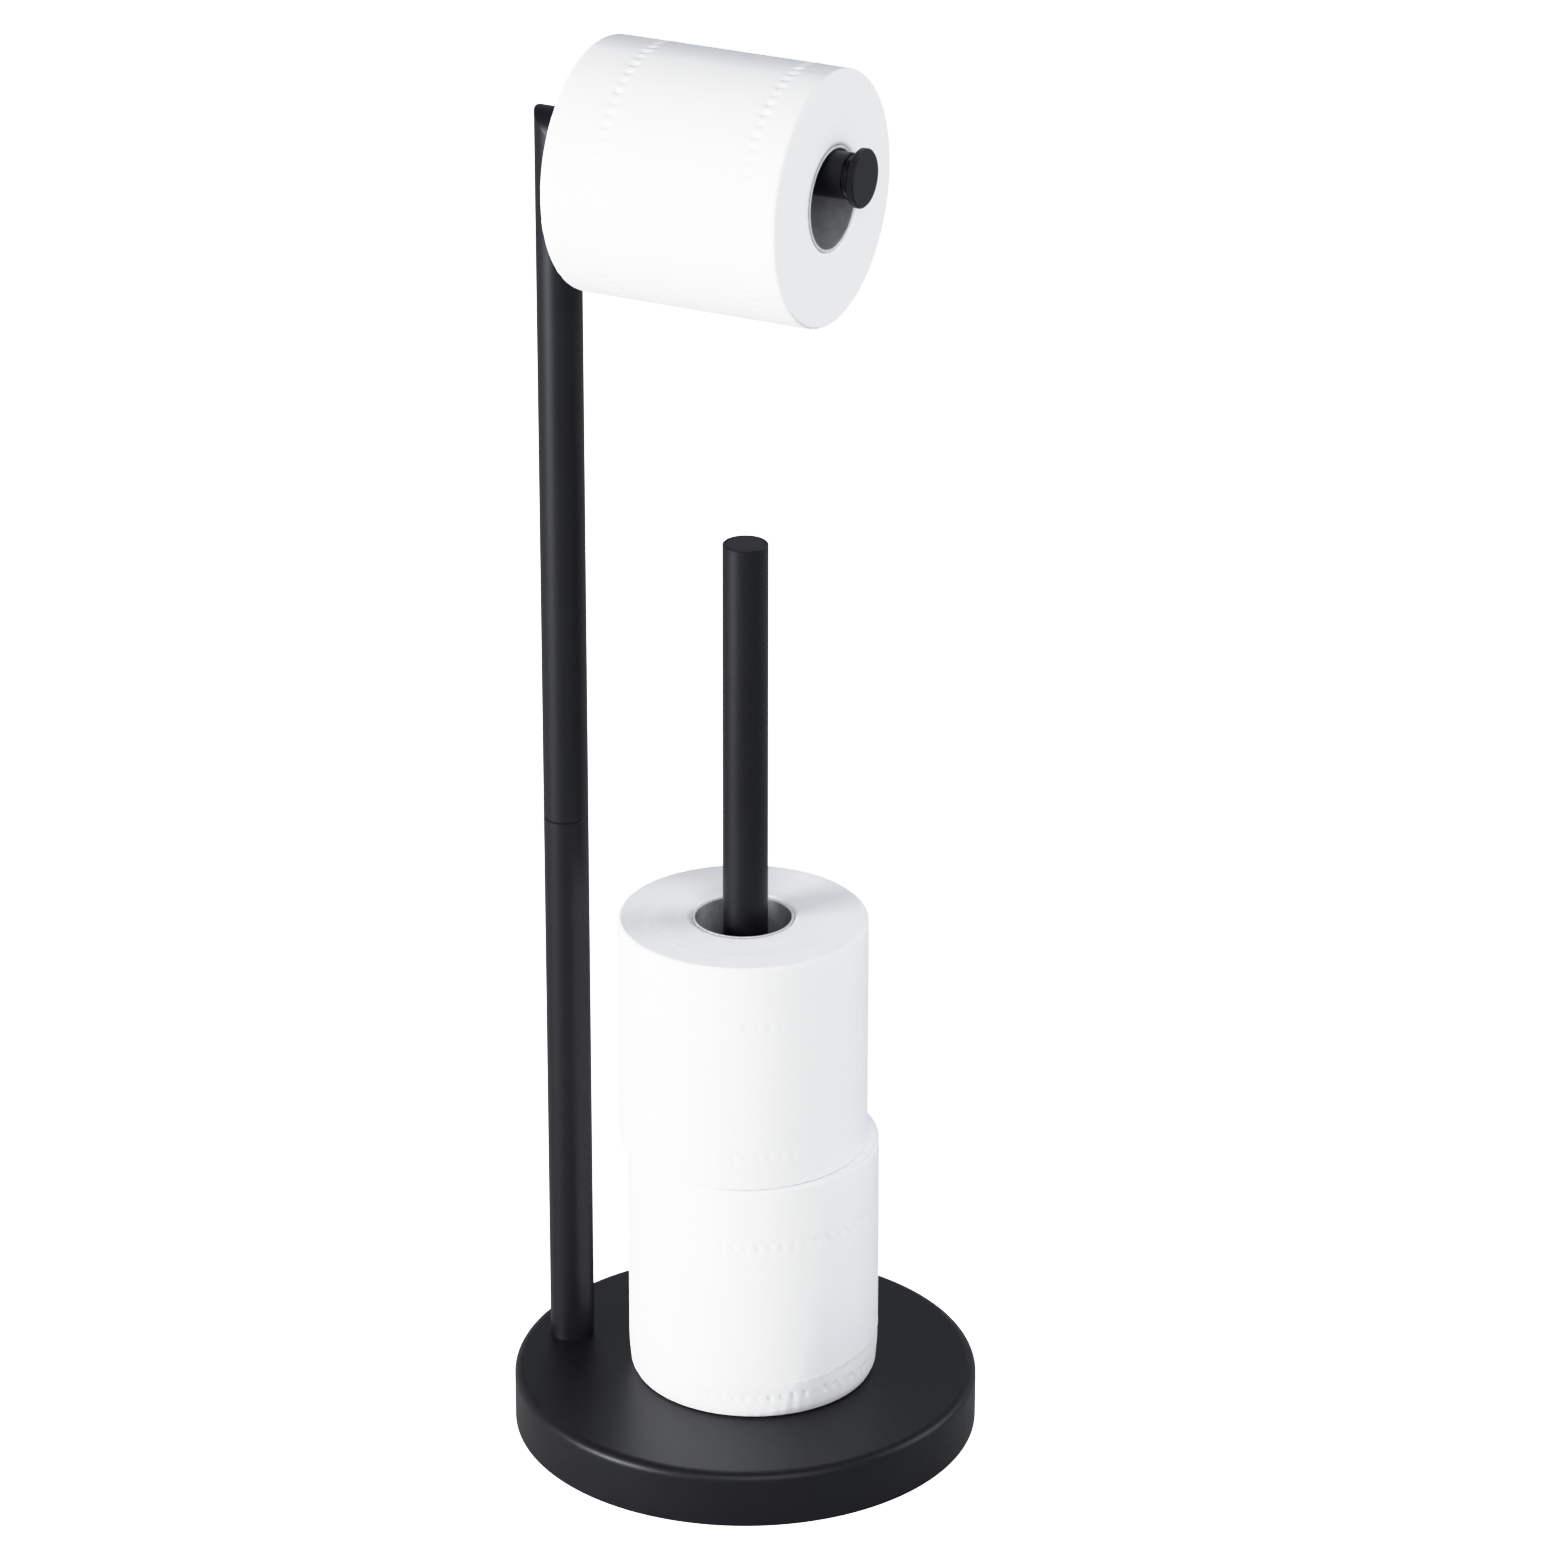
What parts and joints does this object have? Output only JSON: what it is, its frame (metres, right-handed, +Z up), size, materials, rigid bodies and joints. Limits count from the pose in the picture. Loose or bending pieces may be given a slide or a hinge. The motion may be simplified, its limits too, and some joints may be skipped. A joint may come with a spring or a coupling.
{
  "type": "toilet paper holder",
  "caption": "Free-standing toilet paper holder: weighted round base, tall post with a mitred level arm carrying a roll, and a short reserve post with stacked rolls.",
  "frame": {"origin": "centre of the round base, on the floor under it", "axes": "+Z up along the reserve post; +X from the main post towards the reserve post; the user stands on the -Y side"},
  "size_m": [0.2, 0.2, 0.6165],
  "materials": {
    "black_coat": "matte",
    "zinc_steel": "satin",
    "brass": "satin",
    "ballast": "matte",
    "rubber": "matte",
    "tissue": "matte",
    "cardboard": "matte"
  },
  "bodies": {
    "stand": {"base_cover": "black_coat", "base_ballast": "ballast", "ballast_inserts": "brass", "bottom_plate": "zinc_steel", "plate_screws": "zinc_steel", "non_slip_ring": "rubber", "post_screws": "zinc_steel", "post_washers": "zinc_steel", "main_post_lower_tube": "black_coat", "main_post_foot_insert": "zinc_steel", "lower_tube_top_insert": "zinc_steel", "joint_stud": "zinc_steel", "reserve_post_tube": "black_coat", "reserve_post_foot_insert": "zinc_steel", "reserve_post_cap": "black_coat"},
    "arm_section": {"upper_tube_bottom_insert": "zinc_steel", "main_post_upper_tube": "black_coat", "arm_tube": "black_coat", "arm_end_insert": "zinc_steel", "arm_end_disc": "black_coat"},
    "arm_roll": {"arm_roll_paper": "tissue", "arm_roll_core": "cardboard"},
    "lower_roll": {"lower_roll_paper": "tissue", "lower_roll_core": "cardboard"},
    "upper_roll": {"upper_roll_paper": "tissue", "upper_roll_core": "cardboard"}
  },
  "joints": [
    {"name": "arm_swivel", "type": "hinge", "parent": "stand", "child": "arm_section", "pos_m": [-0.08, 0, 0.2725], "axis": [0, 0, 1], "range_deg": [-22, 38]},
    {"name": "arm_roll_spin", "type": "hinge", "parent": "arm_section", "child": "arm_roll", "pos_m": [-0.0089, -0.00999, 0.564], "axis": [0.9903, -0.1392, 0], "continuous": true},
    {"name": "lower_roll_spin", "type": "hinge", "parent": "stand", "child": "lower_roll", "pos_m": [0.0034, 0.0012, 0.0257], "axis": [0, 0, 1], "continuous": true},
    {"name": "upper_roll_lift", "type": "slide", "parent": "stand", "child": "upper_roll", "axis": [0, 0, 1], "range_m": [0, 0.271]}
  ]
}
